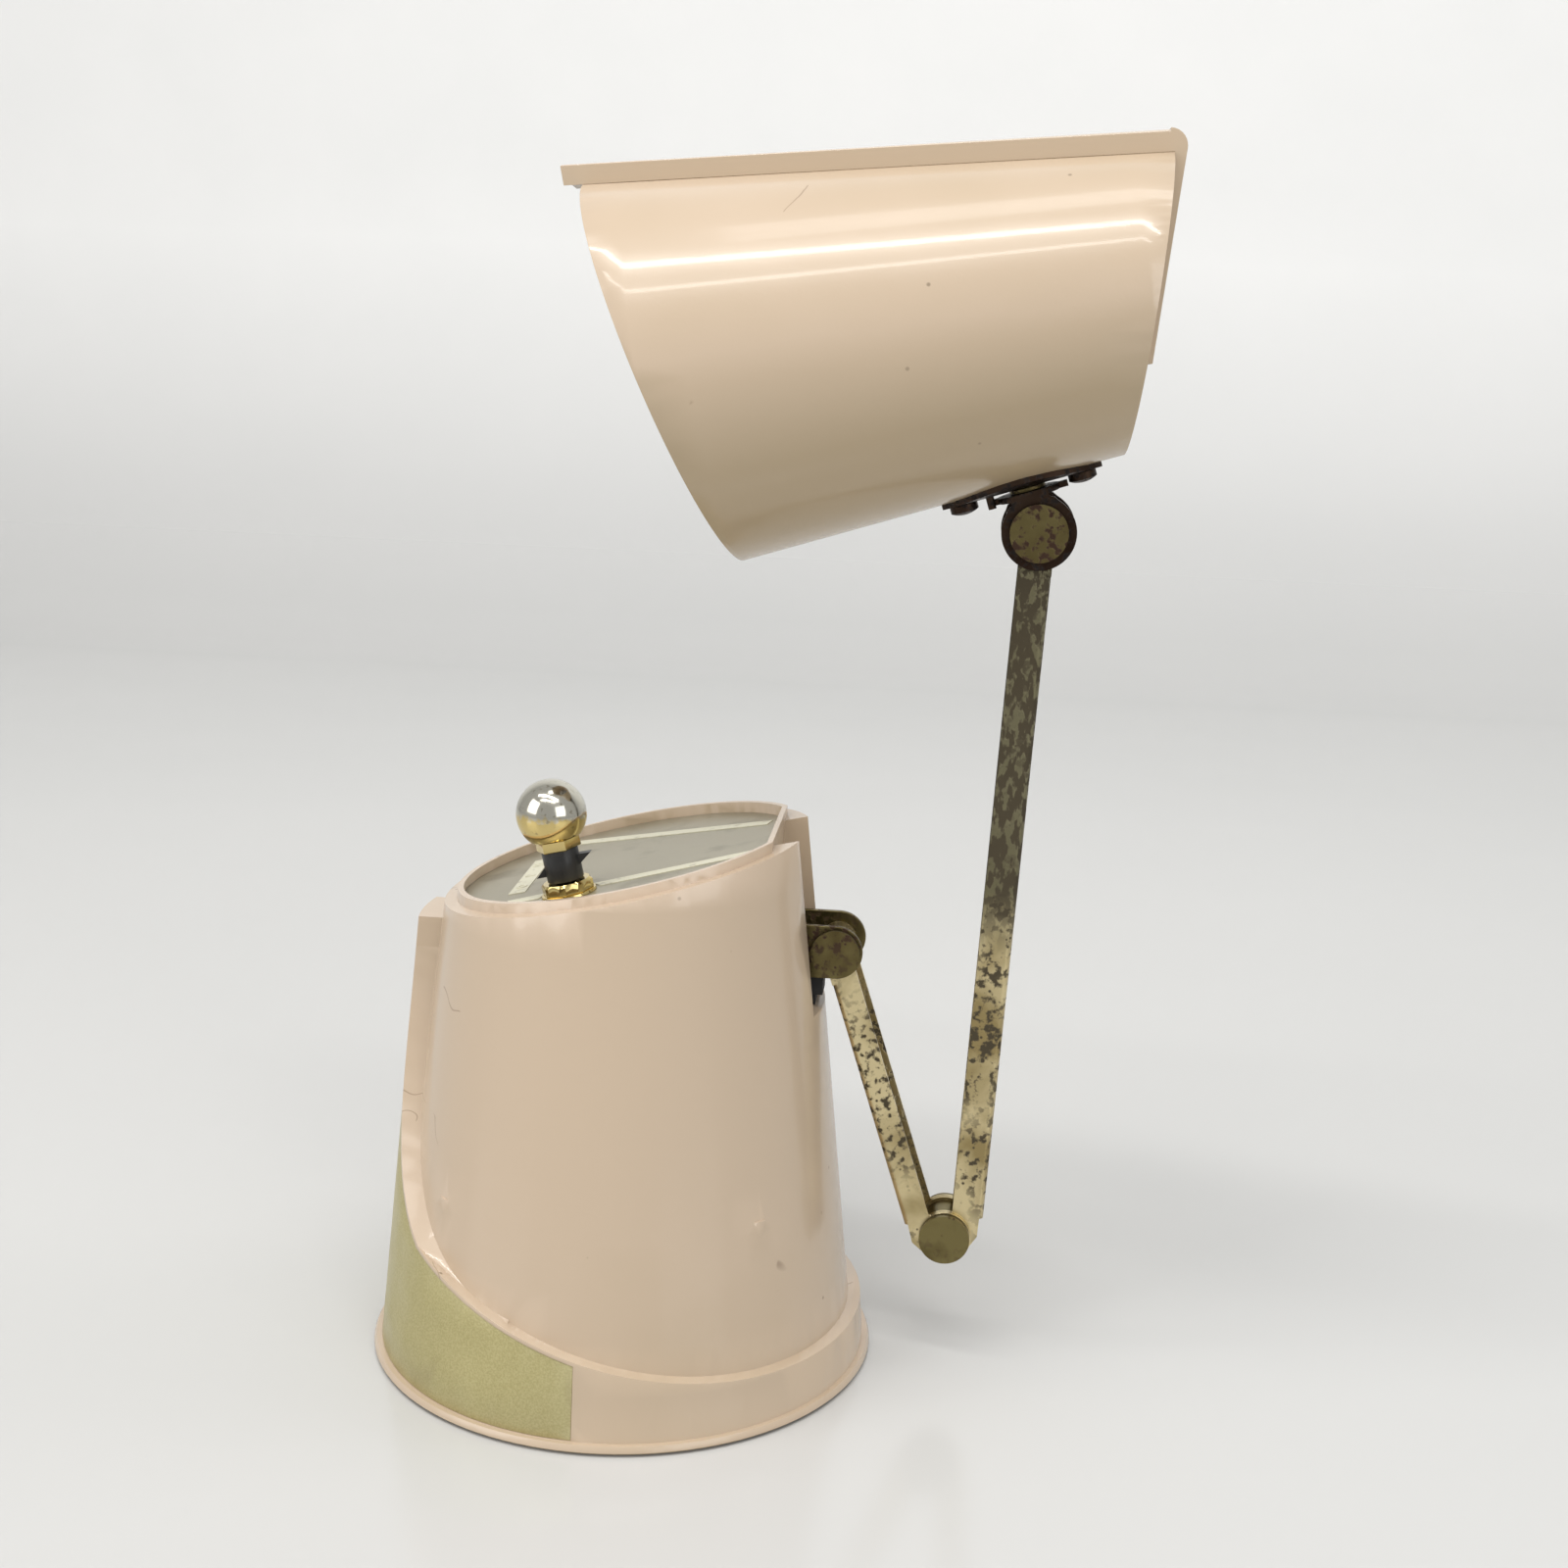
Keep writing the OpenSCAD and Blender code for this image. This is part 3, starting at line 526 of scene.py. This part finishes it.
def paint_all(finishes, stand_ins):
    """Gives each node and each stand-in the material of its slot."""
    for entry in frame["record"]["subparts"]:
        made = frame["nodes"][entry["node"]]
        made.data.materials.clear()
        made.data.materials.append(finishes[entry["material_slot"]])
    for made, slot in stand_ins:
        made.data.materials.append(finishes[slot])


FINISHES = {
    "pink_plastic": pink_plastic(PINK, PINK_YELLOWED_AND_SHADED),
    "panel_gold": front_panel_paint(),
    "dial_gold": dial_paint(),
    "dial_cream": printed_cream(),
    "black_plastic": dark_solid(
        "black_plastic", color=(0.012, 0.012, 0.012), dusty=(0.07, 0.065, 0.055), roughness=0.38, grain=1200
    ),
    "brown_phenolic": dark_solid(
        "brown_phenolic", color=(0.09, 0.035, 0.015), dusty=(0.16, 0.1, 0.06), roughness=0.35, grain=900
    ),
    "black_rubber": dark_solid(
        "black_rubber", color=(0.018, 0.018, 0.018), dusty=(0.1, 0.095, 0.085), roughness=0.62, grain=1700
    ),
    "brass_arm": pitted_plate(
        "brass_arm",
        bright=(0.72, 0.61, 0.36), dull=(0.36, 0.28, 0.13), pit=(0.07, 0.055, 0.03),
        pits_from=0.34, roughness=0.3, eaten_above=ARM_EATEN_ABOVE,
    ),
    "bronze": pitted_plate(
        "bronze",
        bright=(0.205, 0.17, 0.072), dull=(0.1, 0.075, 0.03), pit=(0.05, 0.022, 0.01),
        pits_from=0.36, roughness=0.32,
    ),
    "rusty_steel": pitted_plate(
        "rusty_steel",
        bright=(0.05, 0.032, 0.022), dull=(0.024, 0.013, 0.009), pit=(0.012, 0.006, 0.004),
        pits_from=0.34, roughness=0.38,
    ),
    "gold_plate": polished_gold(),
    "zinc_steel": plain_metal("zinc_steel", color=(0.6, 0.6, 0.59), roughness=0.26, spots=140),
    "grey_steel": grey_paint(),
    "core_iron": laminated_iron(),
    "copper_wire": wound_copper(),
    "bright_aluminium": plain_metal("bright_aluminium", color=(0.86, 0.86, 0.86), roughness=0.16, spots=60),
    "bulb_glass": clear_glass(),
    "brass_cap": plain_metal("brass_cap", color=(0.7, 0.52, 0.24), roughness=0.24, spots=200),
}

paint_all(FINISHES, [knob_ball(), switch_nut(), filament_coil()])

EDGE_WIDTHS = {
    "base_housing": 0.3 * MM,
    "front_panel": 0.12 * MM,
    "shade_shell": 0.35 * MM,
    "shade_strap": 0.45 * MM,
    "short_arm": 0.12 * MM,
    "long_arm": 0.12 * MM,
    "head_clevis": 0.15 * MM,
    "body_bracket": 0.15 * MM,
    "knob_stem": 0.1 * MM,
    "mains_plug": 0.3 * MM,
    "lead_grommet": 0.3 * MM,
}
for node_name, edge_width in EDGE_WIDTHS.items():
    round_edges(node_name, edge_width)


# ---------- stage, light and camera ----------

def sweep():
    """White glossy table top that curves up into a matt plaster wall behind the lamp, one sheet."""
    half_width, front, back, height = 3.0, -3.0, 1.1, 2.6
    bend, bend_steps = 0.3, 12
    outline = [(front, 0.0), (back - bend, 0.0)]
    for i in range(1, bend_steps + 1):
        angle = math.pi / 2 * i / bend_steps
        outline.append((back - bend + bend * math.sin(angle), bend - bend * math.cos(angle)))
    outline.append((back, height))
    shape = bmesh.new()
    left = [shape.verts.new((-half_width, y, z)) for y, z in outline]
    right = [shape.verts.new((half_width, y, z)) for y, z in outline]
    for i in range(len(outline) - 1):
        shape.faces.new((left[i], right[i], right[i + 1], left[i + 1]))
    made = finish_mesh("backdrop", shape)
    paint = Paint("white_lacquer", (0.8, 0.8, 0.795), 0.2)
    up_the_wall = paint.span(paint.height(), 0.02, 0.25)
    table = paint.blend(paint.noise(3, 2), (0.56, 0.565, 0.56), (0.61, 0.61, 0.605))
    wall = paint.blend(paint.noise(14, 5), (0.88, 0.885, 0.88), (0.93, 0.93, 0.925))
    paint.set("Base Color", paint.blend(up_the_wall, table, wall))
    paint.set("Roughness", paint.span(up_the_wall, 0.0, 1.0, 0.17, 0.9))
    paint.set("Specular IOR Level", paint.span(up_the_wall, 0.0, 1.0, 0.5, 0.1))
    paint.set("Normal", paint.bump(paint.noise(4, 2), 2 * MM))
    made.data.materials.append(paint.material)


def area_light(name, place, target, size, power, color=(1, 1, 1)):
    """Rectangular light at a place, turned to its target, with its size in metres and power in watts."""
    lamp = bpy.data.lights.new(name, "AREA")
    lamp.shape = "RECTANGLE"
    lamp.size, lamp.size_y = size
    lamp.energy = power
    lamp.color = color
    made = bpy.data.objects.new(name, lamp)
    made.location = place
    made.rotation_euler = (Vector(target) - Vector(place)).to_track_quat("-Z", "Y").to_euler()
    bpy.context.scene.collection.objects.link(made)


def soft_world(strength):
    world = bpy.data.worlds.new("studio")
    world.use_nodes = True
    background = world.node_tree.nodes["Background"]
    background.inputs["Color"].default_value = (1.0, 0.995, 0.98, 1.0)
    background.inputs["Strength"].default_value = strength
    bpy.context.scene.world = world


def camera():
    """Camera by its place, heading, downward pitch, roll and lens."""
    place = Vector((0.06825, -0.42961, 0.22436))
    heading, pitch, roll = (math.radians(a) for a in (-4.951, 12.983, 2.09))
    forward = Vector((
        math.sin(heading) * math.cos(pitch),
        math.cos(heading) * math.cos(pitch),
        -math.sin(pitch),
    ))
    level = Vector((math.cos(heading), -math.sin(heading), 0))
    above = level.cross(forward)
    right = level * math.cos(roll) + above * math.sin(roll)
    up = above * math.cos(roll) - level * math.sin(roll)
    lens = bpy.data.cameras.new("camera")
    lens.sensor_width = 36.0
    lens.lens = 49.28
    lens.clip_start = 0.01
    made = bpy.data.objects.new("camera", lens)
    turn = Matrix((right, up, -forward)).transposed().to_4x4()
    made.matrix_world = Matrix.Translation(place) @ turn
    bpy.context.scene.collection.objects.link(made)
    bpy.context.scene.camera = made


sweep()
soft_world(0.5)
HEAD_MIDDLE = (0.02, 0, 0.2)
LAMP_MIDDLE = (0, 0, 0.12)
area_light("ceiling_strip", (-0.1, -0.4, 1.2), HEAD_MIDDLE, (1.3, 0.07), 7.0, (1, 0.98, 0.95))
area_light("second_strip", (-0.1, -0.72, 1.15), HEAD_MIDDLE, (1.0, 0.05), 2.2, (1, 0.98, 0.95))
area_light("window", (-1.1, -0.7, 0.7), LAMP_MIDDLE, (0.9, 0.9), 6.0, (1, 0.98, 0.96))
area_light("fill", (0.9, -1.0, 0.6), LAMP_MIDDLE, (0.8, 0.8), 3.6, (0.98, 0.99, 1.0))
area_light("wall_wash", (0.6, 0.1, 1.5), (0.35, 1.1, 0.4), (1.6, 0.4), 6.5)
camera()
bpy.context.scene.view_settings.view_transform = "Standard"
